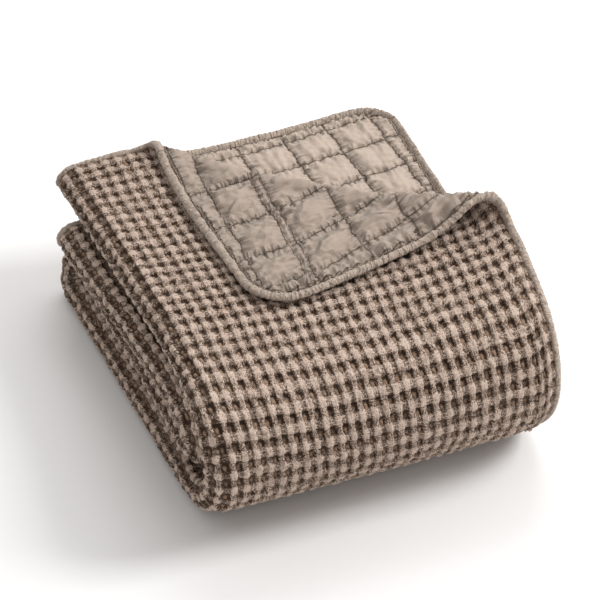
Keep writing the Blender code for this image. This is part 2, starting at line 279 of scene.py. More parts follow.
def turn_corner(points, level, droop):
    """Turn the top layer's cloth past the crease over a curl and down onto the layer."""
    start = np.array(CREASE_BACK)
    reach = np.array(CREASE_RIGHT) - start
    length = np.hypot(*reach)
    direction = reach / length
    corner_side = np.array((-direction[1], direction[0]))
    offset = points[:, :2] - start
    down_crease = offset @ direction
    past_crease = offset @ corner_side
    radius = np.interp(down_crease / length, CURL_PLACES, CURL_RADII)
    sink = np.arccos(np.clip((TURNED_HEIGHT + SINK_RADIUS - radius) / (radius + SINK_RADIUS), -1, 1))
    curl_end = radius * (math.pi + sink)
    sink_end = curl_end + SINK_RADIUS * sink
    curl_angle = np.clip(past_crease, 0, curl_end) / radius
    sink_angle = np.clip(past_crease - curl_end, 0, sink_end - curl_end) / SINK_RADIUS
    tilt = curl_angle - sink_angle
    reach = radius * np.sin(curl_angle) - SINK_RADIUS * (np.sin(tilt) - np.sin(curl_angle))
    rise = radius * (1 - np.cos(curl_angle)) + SINK_RADIUS * (np.cos(tilt) - np.cos(curl_angle))
    reach = reach + np.minimum(past_crease, 0) - np.maximum(past_crease - sink_end, 0)
    reach = reach - level * np.sin(tilt)
    rise = rise + level * np.cos(tilt)
    turned = np.empty_like(points)
    turned[:, :2] = start + np.outer(down_crease, direction) + np.outer(reach, corner_side)
    turned[:, :2] += np.outer(ease(past_crease, 0.0, CORNER_REACH), CORNER_SLIDE)
    turned[:, 2] = points[:, 2] + rise - droop * ease(past_crease, 0.0, -DROOP_FADE)
    beside, ahead = (turned[:, :2] - start).T
    sideways_reach = np.where(beside < 0, PEAK_REACH_LEFT, PEAK_REACH_RIGHT)
    turned[:, 2] += PEAK_LIFT * ease(np.hypot(beside / sideways_reach, ahead / PEAK_REACH_FRONT), 1.0, 0.0)
    return turned


def settle(points):
    """Lean, slump and swell of the soft bundle. The plane that it rests on stays flat."""
    side = points[:, 0] / BUNDLE_WIDTH - 0.5
    deep = points[:, 1] / BUNDLE_DEPTH - 0.5
    high = points[:, 2] / BUNDLE_HEIGHT
    front = ease(points[:, 1], FRONT_REACH, 0.0)
    settled = points.copy()
    settled[:, 0] += TOP_LEAN * high + BACK_SKEW * deep + BACK_TWIST * deep * high
    settled[:, 0] += FRONT_LEAN * high * front + BACK_SPREAD * side * deep
    for upper, lower, slip in LOWER_SLIPS:
        settled[:, 0] -= slip * ease(high, upper, lower) * (0.5 + deep) * (0.5 - side)
    settled[:, 1] += RIGHT_SLANT * side + RIGHT_DRAW * side * deep
    settled[:, 1] += FRONT_SLUMP * front * (high - FRONT_SLUMP_LEVEL)
    swell = RIGHT_SWELL * side + BACK_SWELL * deep + CORNER_SWELL * side * deep
    settled[:, 2] *= 1 + swell + SIDE_SWELL * (4 * side**2 - 0.5)
    return settled


def fold(across, along, level):
    """Carry flat cloth points to their places in the folded bundle."""
    section, section_angle = trace(ACROSS_RUNS, ACROSS_START, math.pi, across)
    droop = DROOP_FALL * np.maximum(across - TOP_LAYER_START - DROOP_START, 0) ** 2
    droop = droop / (BUNDLE_WIDTH - DROOP_START) ** 2
    depth = section[:, 1] + level * np.cos(section_angle) - droop
    route, route_angle = trace(ALONG_RUNS, ALONG_START, math.pi, along)
    points = np.stack((
        section[:, 0] - level * np.sin(section_angle),
        route[:, 0] + depth * np.sin(route_angle),
        route[:, 1] - depth * np.cos(route_angle),
    ), 1)
    top = (across > TOP_LAYER_START) & (along < TOP_RUN)
    flat_top = np.stack((section[top, 0], route[top, 0], np.full(top.sum(), TOP_LAYER_HEIGHT)), 1)
    points[top] = turn_corner(flat_top, level[top], droop[top])
    return settle(points - np.array((0.0, 0.0, REST_HEIGHT))) - np.array((*FOOTPRINT_MIDDLE, 0.0))


# ---------------------------------------------------------------- flat cloth

def inset_and_outward(across, along):
    """Distance in from the cut edge, and the direction out to it."""
    half = np.array((CLOTH_WIDTH, CLOTH_LENGTH)) / 2
    place = np.stack((across, along), 1) - half
    side = np.sign(place)
    past = np.abs(place) - (half - CORNER_RADIUS)
    corner = (past > 0).all(1)
    radial = np.maximum(past, 0)
    reach = np.where(corner, np.hypot(*radial.T), past.max(1))
    straight = np.stack((past[:, 0] >= past[:, 1], past[:, 0] < past[:, 1]), 1).astype(float)
    rounded = radial / np.maximum(np.hypot(*radial.T), 1e-9)[:, None]
    outward = np.where(corner[:, None], rounded, straight) * side
    return CORNER_RADIUS - reach, outward


def lattice(column, row, seed):
    """A fixed random number from -1 to 1 for each cell of a lattice."""
    mixed = column.astype(np.int64) * 374761393 + row.astype(np.int64) * 668265263 + seed * 362437
    mixed &= 0xFFFFFFFF
    mixed = ((mixed ^ (mixed >> 13)) * 1274126177) & 0xFFFFFFFF
    mixed ^= mixed >> 16
    return mixed / 2147483647.5 - 1.0


def noise(u, v, seed):
    """Smooth noise from -1 to 1, with lumps about one unit wide."""
    column, row = np.floor(u), np.floor(v)
    share_u, share_v = u - column, v - row
    share_u = share_u**2 * (3 - 2 * share_u)
    share_v = share_v**2 * (3 - 2 * share_v)
    near = lattice(column, row, seed) * (1 - share_u) + lattice(column + 1, row, seed) * share_u
    far = lattice(column, row + 1, seed) * (1 - share_u) + lattice(column + 1, row + 1, seed) * share_u
    return near * (1 - share_v) + far * share_v


def lumps(across, along, *layers):
    """Sum of smooth noises. Each layer is its amount, its lumps' size across and along, and its seed."""
    return sum(amount * noise(across / wide, along / deep, seed) for amount, wide, deep, seed in layers)


def creased(u, v, seed):
    """Noise with sharp ridges, from 0 to 1."""
    return 1 - np.abs(noise(u, v, seed))


def seam_share(inset):
    """0 under the binding and 1 in the field."""
    return np.clip((inset - BINDING_WIDTH) / (TAPER_END - BINDING_WIDTH), 0, 1)


def seam_level(inset):
    """Level of the seam between face and backing."""
    return EDGE_SEAM + (FIELD_SEAM - EDGE_SEAM) * seam_share(inset)


def surface(inset, binding, rise_width):
    """How far a face lies from the cloth's middle, and a share from 0 under the binding to 1 past it."""
    rise = np.clip((inset - binding) / rise_width, 0, 1)
    half = EDGE_HALF + (FIELD_HALF - EDGE_HALF) * np.maximum(rise, seam_share(inset))
    return half, ease(inset, binding - 0.001, binding + 0.003)


def fade(distance, reach):
    """A fall from 1, the slower the longer the reach is."""
    return np.exp(-distance / reach)


def between_lines(places, value):
    """Number of the line at a place, counted evenly between lines, and the gap between those lines."""
    places = np.array((places[0] - 0.05, *places, places[-1] + 0.05))
    gap = np.diff(places)[np.clip(np.searchsorted(places, value) - 1, 0, len(places) - 2)]
    return np.interp(value, places, np.arange(len(places))), gap


def hand_drawn(across, along):
    """The flat point that hand quilting wanders to, a millimetre or two to the side."""
    wave_across = lumps(across, along, (0.0010, 0.05, 0.020, 3), (0.0005, 0.01, 0.008, 4))
    wave_along = lumps(across, along, (0.0012, 0.020, 0.05, 5), (0.0006, 0.008, 0.01, 6))
    corner = np.interp(along, (0.0, 0.062, 0.15, 0.20, 0.27), (0.0, 0.0, 0.016, 0.016, 0.0))
    top = across > TOP_HAND_START
    slant = np.where(top, corner, 0.05 * along)
    tilt = np.where(top, 0.075 * (across - 1.10) * ease(along, 0.20, 0.14), -0.05 * (across - 0.02))
    return across + wave_across + slant, along + wave_along + tilt


def quilting(across, along):
    """Counts and gaps of the quilting lines that run along the length, and of those across the width."""
    sewn_across, sewn_along = hand_drawn(across, along)
    layers = (
        (across < SECOND_LAYER_END, SECOND_LAYER_LINES),
        ((across >= SECOND_LAYER_END) & (across < OUTER_BEND_START), OTHER_LINES),
        (across >= OUTER_BEND_START, TOP_LAYER_LINES),
    )
    counts = np.zeros((4, len(across)))
    for here, (columns, rows) in layers:
        rows = rows + tuple(place for place in OTHER_LINES[1] if place > rows[-1] + 0.03)
        counts[:2, here] = between_lines(columns, sewn_across[here])
        counts[2:, here] = between_lines(rows, sewn_along[here])
    return counts


def from_quilting(column, column_gap, row, row_gap):
    """Distance to the nearest quilting line that runs along the length, and across the width."""
    return np.abs(column - np.round(column)) * column_gap, np.abs(row - np.round(row)) * row_gap


# ---------------------------------------------------------------- the waffle face

def waffle_relief(across, along, crush):
    """Height of the weave, from 0 in a hollow to 1 on a puff, and shares of pad and left bend."""
    column = (across - HOLLOW_ACROSS) / CELL_ACROSS
    row = (along - HOLLOW_ALONG) / CELL_ALONG
    cell_column, cell_row = np.round(column), np.round(row)
    puff_column, puff_row = np.floor(column), np.floor(row)
    side, deep = column - cell_column, row - cell_row
    beside, ahead = 2 * np.abs(side), 2 * np.abs(deep)
    bend = ease(across, OUTER_BEND_START - 0.004, OUTER_BEND_START + 0.006)
    bend = bend * ease(across, TOP_LAYER_START + 0.003, TOP_LAYER_START - 0.008)
    # How far from its middle a hollow's walls stand, as a share of half a cell.
    wall_across = 0.52 + 0.06 * lattice(cell_column, cell_row, CELL_SEED + 1) + 0.06 * bend
    wall_along = 0.50 + 0.06 * lattice(cell_column, cell_row, CELL_SEED + 2) + 0.04 * bend
    wall_across = wall_across - 0.12 * np.clip(ahead / wall_along, 0, 1) ** 3
    warp = ease(beside, wall_across - 0.12, wall_across + 0.12)
    weft = ease(ahead, wall_along - 0.12, wall_along + 0.12)
    hollow, puff = (1 - warp) * (1 - weft), warp * weft
    # The puff, the ridges on its two sides and ahead of it, then the pad in the hollow.
    swollen = lattice(puff_column, puff_row, CELL_SEED + 3)
    crown = 1 - 0.30 * (1 - beside) ** 2 - 0.22 * (1 - ahead) ** 2
    height = puff * (0.95 + 0.10 * swollen) * crown
    uneven = 0.12 * lattice(puff_column, cell_row, CELL_SEED + 4)
    height += warp * (1 - weft) * (0.72 + uneven - 0.12 * (1 - beside) ** 2)
    height += warp * (1 - weft) * 0.04 * bend
    height += weft * (1 - warp) * (0.66 - 0.06 * bend + 0.14 * lattice(cell_column, puff_row, CELL_SEED + 5))
    lively = 0.5 + 0.5 * lattice(cell_column, cell_row, CELL_SEED)
    pad = 1 - np.hypot((side + 0.045) / 0.185, (deep - 0.075) / 0.185) ** 2
    pad = np.clip(pad, 0, 1) ** 0.6
    height += hollow * (0.02 + pad * (0.12 + 0.42 * lively**3 + 0.35 * crush))
    return height, pad * hollow * (0.30 + 0.70 * lively), bend


def waffle_drift(across, along):
    """Where the rows of the weave wander to from straight."""
    calm = seam_share(inset_and_outward(across, along)[0])
    drift_across = lumps(across, along, (0.0008, 0.06, 0.035, 21), (0.0004, 0.016, 0.012, 22))
    drift_along = lumps(across, along, (0.0013, 0.045, 0.08, 23), (0.0006, 0.013, 0.017, 24))
    top = ease(across, OUTER_BEND_START - 0.02, TOP_LAYER_START) * ease(along, 0.52, 0.46)
    drift_across += FRONT_DRIFT * ease(along, 0.290, 0.365) * top
    drift_along += ROW_SLANT * (across - ROW_SLANT_MIDDLE) * top
    return across + calm * drift_across, along + calm * drift_along


def face_binding_scale(outward):
    """How wide the binding shows on the waffle side, as a share. It is drawn in, most along the cut ends."""
    return 1 - 0.45 * outward[:, 1] ** 2 - 0.36 * np.maximum(outward[:, 0], 0) ** 2


def waffle_level(across, along, wandered, fine):
    """Level of the waffle face, and the values that its colours follow."""
    inset, outward = inset_and_outward(across, along)
    top, rim = surface(inset, FACE_BINDING * face_binding_scale(outward), FACE_RISE)
    from_column, from_row = from_quilting(*quilting(*wandered))
    sewn = np.maximum(np.exp(-(from_column / 0.0034) ** 2), np.exp(-(from_row / 0.0038) ** 2))
    height, pad, bend = waffle_relief(across, along, sewn)
    jumble = lumps(across, along, (1.0, 0.0036, 0.0032, 31), (0.5, 0.0018, 0.0017, 34))
    height = height * (1 - 0.22 * sewn) + 0.30 * sewn * jumble * (0.4 + height)
    fuzz = lumps(across, along, (0.10, 0.0023, 0.0026, 32), (0.05, 0.0012, 0.0014, 33))
    height = np.where(fine, height + fuzz * (0.3 + height), 0.7)
    height = np.minimum(height, np.where(along > FLOOR_START, 0.98, 1.25))  # nothing swells into the floor
    bottom = np.maximum(seam_level(inset) + PIECE_GAP, top - FACE_DEPTH)
    level = bottom + (top - bottom) * (height * rim + 0.6 * (1 - rim))
    shown = np.clip(height, 0, 1.2)
    return level, {"weave_height": shown, "pad": pad * rim, "sewn": sewn, "bend": bend, "rim": rim}


# How much longer the way round the front bend's outer face is than round its cloth's middle.
OUTER_FACE = (1.5 * PACKET_PITCH + 2 * LAYER_PITCH) / (1.5 * PACKET_PITCH)

# Where the parts of a cloth begin and end: at the cut edge, and at the hem, the finer strip beside it.
RIM = 0.0006
HEM = 0.040
WIDTH_END, LENGTH_END = CLOTH_WIDTH - RIM, CLOTH_LENGTH - RIM
WIDTH_HEM, LENGTH_HEM = CLOTH_WIDTH - HEM, CLOTH_LENGTH - HEM
BEND_EDGE = OUTER_BEND_START - 0.022
STRIP_END = TOP_LAYER_START + 0.022
LOWER_START = FRONT_BEND_END + 0.350
RIGHT_STRIP = (THIRD_LAYER_END - 0.022, FOURTH_LAYER_START + 0.022)
FULL_LENGTH = ((RIM, HEM, 6), (HEM, LENGTH_HEM, 2), (LENGTH_HEM, LENGTH_END, 6))
LOWER_LENGTH = (LOWER_START - CELL_ALONG, LENGTH_END)
FACE_PARTS = {
    # name: intervals across and along as (start, end, steps per cell)
    "waffle_top": (((BEND_EDGE, WIDTH_END, 10),), ((RIM, TOP_RUN, 12),)),
    "waffle_front": (((BEND_EDGE, WIDTH_END, 10),), ((TOP_RUN, FRONT_BEND_END + 0.015, 12),)),
    "waffle_base": (((BEND_EDGE, WIDTH_END, 8),), ((FRONT_BEND_END, LOWER_START, 8),)),
    "waffle_left": (((BEND_EDGE, STRIP_END, 10),), ((*LOWER_LENGTH, 10),)),
    "waffle_right": (((*RIGHT_STRIP, 8),), ((RIM, LENGTH_END, 8),)),
    "waffle_second": (((RIM, HEM, 6), (HEM, RIGHT_STRIP[0] + 0.004, 1)), FULL_LENGTH),
    "waffle_fourth": (((RIGHT_STRIP[1] - 0.004, BEND_EDGE + 0.004, 1),), FULL_LENGTH),
    "waffle_between": (
        ((STRIP_END - 0.004, WIDTH_HEM, 1), (WIDTH_HEM, WIDTH_END, 6)),
        ((LOWER_LENGTH[0], LENGTH_HEM, 2), (LENGTH_HEM, LENGTH_END, 6)),
    ),
}
# Where in a cell its steps lie, as shares from one hollow's middle to the next.
CELL_STEPS = {
    12: (0.0, 0.10, 0.17, 0.22, 0.27, 0.36, 0.50, 0.64, 0.73, 0.78, 0.83, 0.90),
    10: (0.0, 0.15, 0.21, 0.27, 0.37, 0.50, 0.63, 0.73, 0.79, 0.85),
    8: (0.0, 0.17, 0.26, 0.37, 0.50, 0.63, 0.74, 0.83),
    6: (0.0, 0.19, 0.33, 0.50, 0.67, 0.81),
    2: (0.0, 0.50),
    1: (0.0,),
}


def cell_places(intervals, first, size):
    """Grid places of a part of the face, set on the walls of its cells, and which of them are fine."""
    places, fine = [], []
    for start, end, steps in intervals:
        cells = np.arange(math.floor((start - first) / size) - 1, math.ceil((end - first) / size) + 2)
        inner = (first + size * (cells[:, None] + np.array(CELL_STEPS[steps]))).ravel()
        inner = inner[(inner > start + 0.0003) & (inner < end - 0.0003)]
        for place in (start, *inner, end):
            if not places or place > places[-1] + 1e-6:
                places.append(place)
                fine.append(steps >= 6)
    return np.array(places), np.array(fine)


def even_places(intervals):
    """Grid places at even steps. Each interval is its start, its end and the step."""
    places = []
    for start, end, step in intervals:
        count = max(1, round((end - start) / step))
        places.extend(start + (end - start) * number / count for number in range(count))
    return np.array([*places, intervals[-1][1]])


def read(items, name, size, kind=np.float32):
    """One value of every point, corner or face of a mesh, in rows of the given size."""
    values = np.empty(len(items) * size, kind)
    items.foreach_get(name, values)
    return values.reshape(-1, size)


def flat_grid(name, columns, rows):
    """A flat cloth with its points at the given columns and rows, and their places."""
    bpy.ops.object.select_all(action="DESELECT")
    bpy.ops.mesh.primitive_grid_add(
        x_subdivisions=len(columns) - 1, y_subdivisions=len(rows) - 1, size=2.0, location=(0.0, 0.0, 0.0)
    )
    cloth = bpy.context.object
    cloth.name = name
    cloth.data.name = name
    share = read(cloth.data.vertices, "co", 3)[:, :2].astype(float) / 2 + 0.5
    column = np.rint(share[:, 0] * (len(columns) - 1)).astype(int)
    row = np.rint(share[:, 1] * (len(rows) - 1)).astype(int)
    return cloth, column, row


def place_cloth(cloth, across, along, points, values):
    """Put a cloth's points in place. Its material reads its flat place in metres and the values."""
    mesh = cloth.data
    corner = read(mesh.loops, "vertex_index", 1, np.int32)[:, 0]
    pattern = mesh.uv_layers[0]
    pattern.name = "flat_cloth"
    pattern.data.foreach_set("uv", np.stack((across[corner], along[corner]), 1).astype(np.float32).ravel())
    mesh.vertices.foreach_set("co", points.astype(np.float32).ravel())
    for name, value in values.items():
        attribute = mesh.attributes.new(name, "FLOAT", "POINT")
        attribute.data.foreach_set("value", np.asarray(value, np.float32))
    mesh.update()


def cut_outline(cloth, across, along):
    """Cut a flat grid to the throw's rounded corners, by the middles of its faces."""
    mesh = cloth.data
    corners = read(mesh.polygons, "vertices", 4, np.int32)
    inset, _ = inset_and_outward(across[corners].mean(1), along[corners].mean(1))
    outside = inset < RIM
    if outside.any():
        bpy.ops.object.mode_set(mode="EDIT")
        bpy.ops.mesh.select_mode(type="FACE")
        bpy.ops.mesh.select_all(action="DESELECT")
        bpy.ops.object.mode_set(mode="OBJECT")
        mesh.polygons.foreach_set("select", outside)
        bpy.ops.object.mode_set(mode="EDIT")
        bpy.ops.mesh.delete(type="FACE")
        bpy.ops.object.mode_set(mode="OBJECT")


def smooth_cloth(cloth, turn_over):
    """Shade a cloth smooth, turned over where its other side shows."""
    if turn_over:
        cloth.data.flip_normals()
    bpy.ops.object.shade_smooth()
    cloth.data.update()


def drape(cloth, across, along, points, values, turn_over):
    """Carry a part of a cloth to its place, cut to the throw's outline, and give it with its flat size."""
    place_cloth(cloth, across, along, points, values)
    cut_outline(cloth, across, along)
    smooth_cloth(cloth, turn_over)
    return cloth, (across.max() - across.min(), along.max() - along.min())


def build_face_part(name):
    """One part of the waffle face, woven flat and carried to its place."""
    intervals_across, intervals_along = FACE_PARTS[name]
    columns, fine_columns = cell_places(intervals_across, HOLLOW_ACROSS, CELL_ACROSS)
    rows, fine_rows = cell_places(intervals_along, HOLLOW_ALONG, CELL_ALONG)
    cloth, column, row = flat_grid(name, columns, rows)
    across, along = columns[column], rows[row]
    fine = fine_columns[column] & fine_rows[row]
    wandered = waffle_drift(across, along)
    level, values = waffle_level(across, along, wandered, fine)
    return drape(cloth, across, along, fold(*wandered, level), values, turn_over=True)


# ---------------------------------------------------------------- the plain backing

def pleats(place, down, width, seed):
    """Ridges side by side that run down the cloth, from 0 in a crease to 1 on a ridge."""
    wander = lumps(place, down, (0.30, 3 * width, 0.016, seed), (0.12, width, 0.006, seed + 1))
    sway = 0.8 * noise(place / (2.2 * width), down / 0.09, seed + 2)
    return np.abs(np.sin(math.pi * (place / width + sway + wander)))


def binding_scale(across, outward):
    """How wide the binding shows on the plain side, as a share. It rolls under along the second layer."""
    return np.where(across < SECOND_LAYER_END, 0.90 - 0.32 * np.maximum(-outward[:, 0], 0), 0.82)


def past_crease(across, along):
    """How far past the turned corner's crease a flat point of the top layer is."""
    reach = np.array(CREASE_RIGHT) - np.array(CREASE_BACK)
    beside = across - TOP_LAYER_START - CREASE_BACK[0]
    ahead = TOP_RUN + FRONT_BEND - along - CREASE_BACK[1]
    return (ahead * reach[0] - beside * reach[1]) / np.hypot(*reach)


def backing_level(across, along):
    """Level of the quilted plain backing, and the values that its colours follow."""
    inset, outward = inset_and_outward(across, along)
    binding = BACKING_BINDING * binding_scale(across, outward)
    half, rim = surface(inset, binding, BACKING_RISE)
    column, column_gap, row, row_gap = lines = quilting(across, along)
    from_column, from_row = from_quilting(*lines)
    groove = np.minimum(from_column, from_row)
    dome = 1 - 0.55 * fade(groove, 0.0019) - 0.45 * fade(groove, 0.0085)
    by_row = fade(from_row, 0.0115) * (1 - fade(from_row, 0.0008))
    by_column = fade(from_column, 0.0085) * (1 - fade(from_column, 0.0008))
    # Puckers beside the stitch lines, then the long folds and crumples between them.
    uneven = 0.75 + 0.6 * noise(across / 0.017, along / 0.021, 40)
    puckers = (pleats(across, along, 0.0082, 41) ** 0.6 - 0.72) * by_row * uneven
    puckers += 0.85 * (pleats(along, across, 0.0090, 45) ** 0.6 - 0.72) * by_column * uneven
    long_folds = pleats(across, along, 0.0115, 49) ** 0.8 - 0.6
    long_folds = long_folds * (0.45 + 0.75 * noise(across / 0.03, along / 0.045, 50))
    folds = creased(across / 0.019 + 0.7 * noise(across / 0.03, along / 0.03, 43), along / 0.027, 44) ** 4
    folds += creased(across / 0.013 + along / 0.030, along / 0.014 - across / 0.04, 46) ** 5
    swell = noise(across / 0.024, along / 0.026, 47)
    crumple = lumps(across, along, (0.6, 0.0075, 0.0095, 48), (0.4, 0.0040, 0.0045, 57))
    turned = ease(across, *TURNED_SPAN)
    slack = noise(across / 0.021 + along / 0.052, along / 0.034 - across / 0.060, 65)
    ripple = noise(across / 0.0105 - along / 0.036, along / 0.0160 + across / 0.060, 66)
    height = 0.88 * dome + dome * (0.36 * long_folds + 0.26 * (folds - 0.7) + 0.22 * swell + 0.10 * crumple)
    pillow = 1 - fade(groove, 0.0125)
    loose = turned * (0.30 + 0.70 * ease(past_crease(across, along), 0.018, 0.055))
    height += loose * dome * (0.45 * pillow + 0.80 * slack + 0.62 * ripple + 0.35 * (folds - 0.7))
    height += (1.35 + 0.95 * loose) * puckers
    # Gathers beside the binding: close along the back edge, wider along the others.
    gather = 0.75 * (pleats(across, along, 0.0047, 58) ** 0.7 - 0.66)
    gather += 0.30 * noise(across / 0.003, along / 0.004, 59)
    second = ease(across, 0.40, 0.35)
    strip = ease(along, 0.021, 0.016) * ease(inset, binding, binding + 0.002)
    edge = ease(inset, 0.023, 0.016) * ease(inset, binding, binding + 0.002) * (1 - strip)
    beside = (pleats(along, across, 0.0105, 63) ** 0.6 - 0.70) * edge
    height += gather * strip * (0.55 + 0.75 * second) + beside * (0.8 + 1.6 * turned)
    top, bottom = -half, BACKING_DEPTH - half
    level = bottom + (top - bottom) * (np.clip(height, -0.2, 1.6 + 0.9 * turned) * rim + 0.75 * (1 - rim))
    values = {
        "turned": turned, "quilt_height": np.clip(height, 0, 1.3),
        "column_line": column, "column_gap": column_gap, "row_line": row, "row_gap": row_gap,
        "from_binding": inset - binding, "end_edge": outward[:, 1] ** 2,
    }
    return level, values


BACKING_PARTS = {
    # name: intervals across and along as (start, end, step)
    "backing_corner": (((TOP_LAYER_START - 0.006, WIDTH_END, 0.00155),), ((RIM, TOP_RUN, 0.00165),)),
    "backing_second": (
        ((RIM, SECOND_LAYER_EDGE - LEFT_BEND + 0.004, 0.00155),),
        ((RIM, TOP_RUN, 0.00175),),
    ),
    "backing_middle": (
        ((SECOND_LAYER_EDGE - LEFT_BEND, TOP_LAYER_START - 0.004, 0.004),),
        ((RIM, HEM, 0.003), (HEM, TOP_RUN, 0.010)),
    ),
    "backing_lower": (
        ((RIM, HEM, 0.003), (HEM, WIDTH_HEM, 0.006), (WIDTH_HEM, WIDTH_END, 0.003)),
        ((TOP_RUN - 0.002, LENGTH_HEM, 0.008), (LENGTH_HEM, LENGTH_END, 0.003)),
    ),
}


def build_backing_part(name):
    """One part of the plain backing, quilted flat and carried to its place."""
    intervals_across, intervals_along = BACKING_PARTS[name]
    columns, rows = even_places(intervals_across), even_places(intervals_along)
    cloth, column, row = flat_grid(name, columns, rows)
    across, along = columns[column], rows[row]
    level, values = backing_level(across, along)
    return drape(cloth, across, along, fold(across, along, level), values, turn_over=False)


# ---------------------------------------------------------------- the binding

BINDING_SECTION = (
    # inset from the cut edge, level, how far a gather swells it
    (0.0090, 0.0010, 0.0),
    (0.0083, 0.0020, 0.3),
    (0.0072, 0.0029, 0.8),
    (0.0055, 0.0034, 1.0),
    (0.0035, 0.0034, 1.0),
    (0.0015, 0.0029, 0.9),
    (0.0000, 0.0019, 0.7),
    (-0.0008, 0.0006, 0.6),
    (-0.0008, -0.0008, 0.6),
    (-0.0002, -0.0022, 0.7),
    (0.0010, -0.0033, 0.9),
    (0.0026, -0.0040, 1.0),
    (0.0045, -0.0040, 1.0),
    (0.0062, -0.0034, 0.8),
    (0.0074, -0.0023, 0.3),
    (0.0084, -0.0010, 0.0),
)


def rim_place(distance):
    """The cut edge's point and outward direction, at a distance round the throw."""
    place, heading = trace(RIM_RUNS, RIM_START, math.pi / 2, distance)
    return place, np.stack((np.sin(heading), -np.cos(heading)), 1)


def pinches(count, sharpness, seed):
    """Pinched creases at whole counts, some deep and some faint, from 0 to 1."""
    depth = 0.70 + 0.30 * lattice(np.round(count), np.zeros(len(count)), seed)
    return depth * (1 - np.abs(np.sin(math.pi * count)) ** sharpness)


def build_binding(step):
    """The gathered binding strip round the whole cut edge."""
    count = round(PERIMETER / step)
    stations = np.arange(count + 1) * PERIMETER / count
    section = np.array(BINDING_SECTION)
    cloth, column, row = flat_grid("binding_strip", stations, np.arange(len(section)))
    distance = np.mod(stations[column], PERIMETER)
    edge, outward = rim_place(distance)
    inset, level, swell = section[row].T
    width = np.cumsum(np.r_[0, np.hypot(np.diff(section[:, 0]), np.diff(section[:, 1]))])[row]
    back_edge = (outward[:, 1] < -0.3) & (edge[:, 0] > TURNED_SPAN[0])
    still = np.zeros_like(distance)
    # Broad pinches lead along the turned corner's back edge, narrow ones elsewhere.
    broad = pinches(distance / 0.0078 + 0.9 * noise(distance / 0.020, still, 51), 0.70, 70)
    narrow = distance / 0.0040 + 0.9 * noise(distance / 0.011, still, 56)
    narrow = pinches(narrow + 0.35 * noise(distance / 0.006, width / 0.006, 60), 0.80, 71)
    puff = 1 - np.where(back_edge, 0.70 * broad + 0.35 * narrow, 0.35 * broad + 0.65 * narrow)
    uneven = 1 + 0.30 * noise(distance / 0.013, width / 0.02, 53)
    fine = noise(distance / 0.0030, width / 0.008, 54)
    level = level + np.sign(level) * swell * (0.0022 * (puff * uneven - 0.85) + 0.00025 * fine)
    level = np.minimum(level, BINDING_TOP)
    inset = inset - 0.0016 * swell * (inset < 0.001) * (puff - 0.8)
    scale = np.where(level < 0, binding_scale(edge[:, 0], outward), face_binding_scale(outward))
    inset = np.where(inset > 0, inset * scale, inset)
    inset += (0.0006 * fine + 0.0010 * (puff - 0.8)) * (inset > 0.0045) * (swell < 0.9)
    flat = edge - outward * inset[:, None]
    place_cloth(cloth, distance, width, fold(*flat.T, level), {"gather": puff})
    bpy.ops.object.mode_set(mode="EDIT")
    bpy.ops.mesh.select_all(action="SELECT")
    bpy.ops.mesh.remove_doubles(threshold=0.00001)
    bpy.ops.object.mode_set(mode="OBJECT")
    smooth_cloth(cloth, turn_over=False)
    return cloth, (PERIMETER, float(width.max()))


# ---------------------------------------------------------------- the stitches

def spindle():
    """One stitch: a slim spindle of unit length, two rings long and five sides round."""
    bpy.ops.object.select_all(action="DESELECT")
    bpy.ops.mesh.primitive_cylinder_add(
        vertices=5, radius=0.5, depth=0.6, end_fill_type="TRIFAN", rotation=(0, math.pi / 2, 0)
    )
    bpy.ops.object.transform_apply(location=False, rotation=True, scale=False)
    stitch = bpy.context.object
    place = read(stitch.data.vertices, "co", 3).astype(float)
    tips = np.hypot(place[:, 1], place[:, 2]) < 0.01
    place[tips, 0] = np.sign(place[tips, 0]) * 0.5
    stitch.data.vertices.foreach_set("co", place.astype(np.float32).ravel())
    return stitch, place


def stitch_row(start, end, pitch, seed):
    """The ends of the stitches of one hand quilted row, given straight on the flat cloth."""
    start, end = np.array(start), np.array(end)
    length = np.hypot(*(end - start))
    count = max(1, int(length / pitch))
    number = np.arange(count)
    uneven = lattice(number, np.full(count, seed), 61)
    middle = start + np.outer((number + 0.5 + 0.12 * uneven) / count, end - start)
    half = np.outer(pitch * (0.31 + 0.05 * uneven) / length, end - start)
    return hand_places(middle - half), hand_places(middle + half)


def hand_places(sewn):
    """The flat points that hand_drawn() carries to the given straight rows."""
    places = sewn.copy()
    for _ in range(5):
        places = places + sewn - np.stack(hand_drawn(*places.T), 1)
    return places


def quilting_rows(lines, across_span, along_span):
    """The stitch rows of the quilting over one rectangle of the backing."""
    rows = []
    for way, (span, reach) in enumerate(((across_span, along_span), (along_span, across_span))):
        for number, place in enumerate(lines[way]):
            if span[0] < place < span[1]:
                ends = ((place, end)[::-1 if way else 1] for end in reach)
                rows.append(stitch_row(*ends, QUILTING_PITCH, 100 * way + number))
    return rows


def rim_rows(spans, past_binding, pitch, seed):
    """Stitches beside the binding's plain side, over parts of the way round the throw."""
    rows = []
    for start, end in spans:
        count = int((end - start) / pitch)
        distance = start + (np.arange(count) + 0.5) * (end - start) / count
        edge, outward = rim_place(distance)
        inset = BACKING_BINDING * binding_scale(edge[:, 0], outward) + past_binding
        middle = edge - outward * inset[:, None]
        half = np.stack((-outward[:, 1], outward[:, 0]), 1) * pitch * 0.33
        half *= 1 + 0.12 * lattice(np.arange(count), np.full(count, seed), 62)[:, None]
        rows.append((middle - half, middle + half))
    return rows


